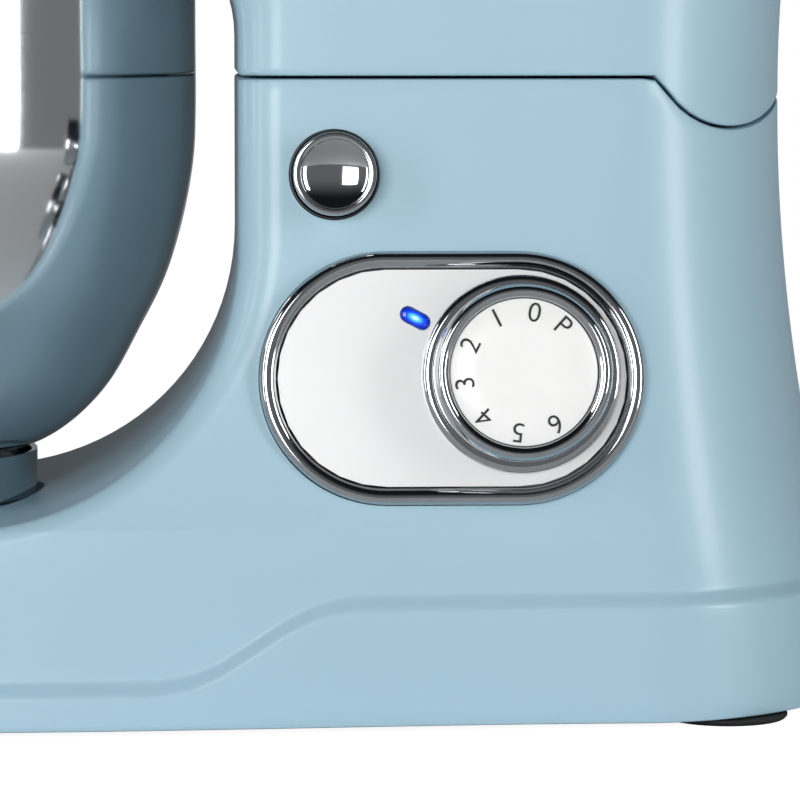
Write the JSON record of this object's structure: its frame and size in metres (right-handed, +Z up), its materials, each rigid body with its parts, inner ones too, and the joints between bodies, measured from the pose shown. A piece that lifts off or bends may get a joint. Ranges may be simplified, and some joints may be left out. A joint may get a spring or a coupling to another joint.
{
  "type": "stand mixer",
  "caption": "Tilt-head stand mixer with a painted column and base, steel bowl, flat beater, speed dial and head release button.",
  "frame": {"origin": "on the worktop, under the middle of the mixer's length and width", "axes": "+X from the nose towards the hinge, -Y the side with the controls, +Z up"},
  "size_m": [0.4082, 0.2192, 0.3442],
  "materials": {
    "paint": "gloss",
    "chrome": "polished",
    "bowl_steel": "polished",
    "satin_metal": "satin",
    "cast_alloy": "satin",
    "bronze": "satin",
    "black_plastic": "matte",
    "rubber": "matte",
    "white_face": "satin",
    "lens": "gloss",
    "board": "satin"
  },
  "bodies": {
    "base": {"base_housing": "paint", "base_cover": "black_plastic", "foot_front_left": "rubber", "foot_front_right": "rubber", "foot_rear_left": "rubber", "foot_rear_right": "rubber", "cover_screw_1": "satin_metal", "cover_screw_2": "satin_metal", "cover_screw_3": "satin_metal", "cover_screw_4": "satin_metal", "bowl_seat": "satin_metal", "panel_bezel": "chrome", "panel_plate": "satin_metal", "indicator_lens": "lens", "dial_collar": "chrome", "control_board": "board", "speed_switch": "black_plastic", "button_sleeve": "black_plastic", "button_spring": "satin_metal", "hinge_bracket": "cast_alloy", "hinge_pin": "satin_metal", "rest_pad": "rubber", "inlet_gland": "rubber"},
    "mixing_bowl": {"bowl": "bowl_steel", "bowl_foot": "bowl_steel"},
    "dial": {"dial_knob": "chrome", "dial_face": "white_face", "dial_shaft": "satin_metal"},
    "button": {"release_button": "chrome", "button_stem": "black_plastic"},
    "head": {"head_lower_shell": "paint", "head_upper_shell": "paint", "trim_band": "chrome", "hub_collar": "chrome", "hub_cap": "chrome", "latch_strike": "satin_metal", "gearbox_plate": "cast_alloy", "gearbox_cover": "cast_alloy", "ring_gear": "satin_metal", "drive_belt": "rubber", "motor_frame": "satin_metal", "motor_stator": "satin_metal", "brush_left": "bronze", "brush_right": "bronze"},
    "rotor": {"motor_shaft": "satin_metal", "rotor_core": "satin_metal", "commutator": "bronze", "motor_fan": "black_plastic", "motor_pulley": "satin_metal"},
    "countershaft": {"layshaft": "satin_metal", "pinion": "satin_metal", "driven_pulley": "black_plastic"},
    "carrier": {"planet_hub": "cast_alloy", "central_shaft": "satin_metal", "carrier_gear": "bronze"},
    "beater": {"output_shaft": "satin_metal", "output_pin": "satin_metal", "planet_gear": "bronze", "flat_beater": "cast_alloy"}
  },
  "joints": [
    {"name": "head_tilt", "type": "hinge", "parent": "base", "child": "head", "pos_m": [0.1629, 0, 0.1872], "axis": [0, 1, 0], "range_deg": [0, 40]},
    {"name": "carrier_spin", "type": "hinge", "parent": "head", "child": "carrier", "pos_m": [-0.093, 0, 0.225], "axis": [0, 0, 1], "continuous": true},
    {"name": "beater_spin", "type": "hinge", "parent": "carrier", "child": "beater", "pos_m": [-0.117, 0, 0.225], "axis": [0, 0, 1], "continuous": true},
    {"name": "countershaft_spin", "type": "hinge", "parent": "head", "child": "countershaft", "pos_m": [-0.048, 0, 0.25], "axis": [0, 0, 1], "continuous": true},
    {"name": "motor_spin", "type": "hinge", "parent": "head", "child": "rotor", "pos_m": [0.1, 0, 0.27], "axis": [0, 0, 1], "continuous": true},
    {"name": "dial_turn", "type": "hinge", "parent": "base", "child": "dial", "pos_m": [0.1026, -0.0826, 0.09679], "axis": [0, -0.9925, 0.1219], "range_deg": [-137, 103]},
    {"name": "button_press", "type": "slide", "parent": "base", "child": "button", "axis": [0, 0.998, -0.0637], "range_m": [0, 0.005], "stiffness_N_per_m": 500, "springref_m": -0.004},
    {"name": "bowl_twist", "type": "hinge", "parent": "base", "child": "mixing_bowl", "pos_m": [-0.093, 0, 0.06], "axis": [0, 0, 1], "range_deg": [0, 45]}
  ],
  "couplings": [
    {"joint": "beater_spin", "follows": "carrier_spin", "ratio": -3},
    {"joint": "countershaft_spin", "follows": "carrier_spin", "ratio": -4},
    {"joint": "motor_spin", "follows": "carrier_spin", "ratio": -16}
  ]
}
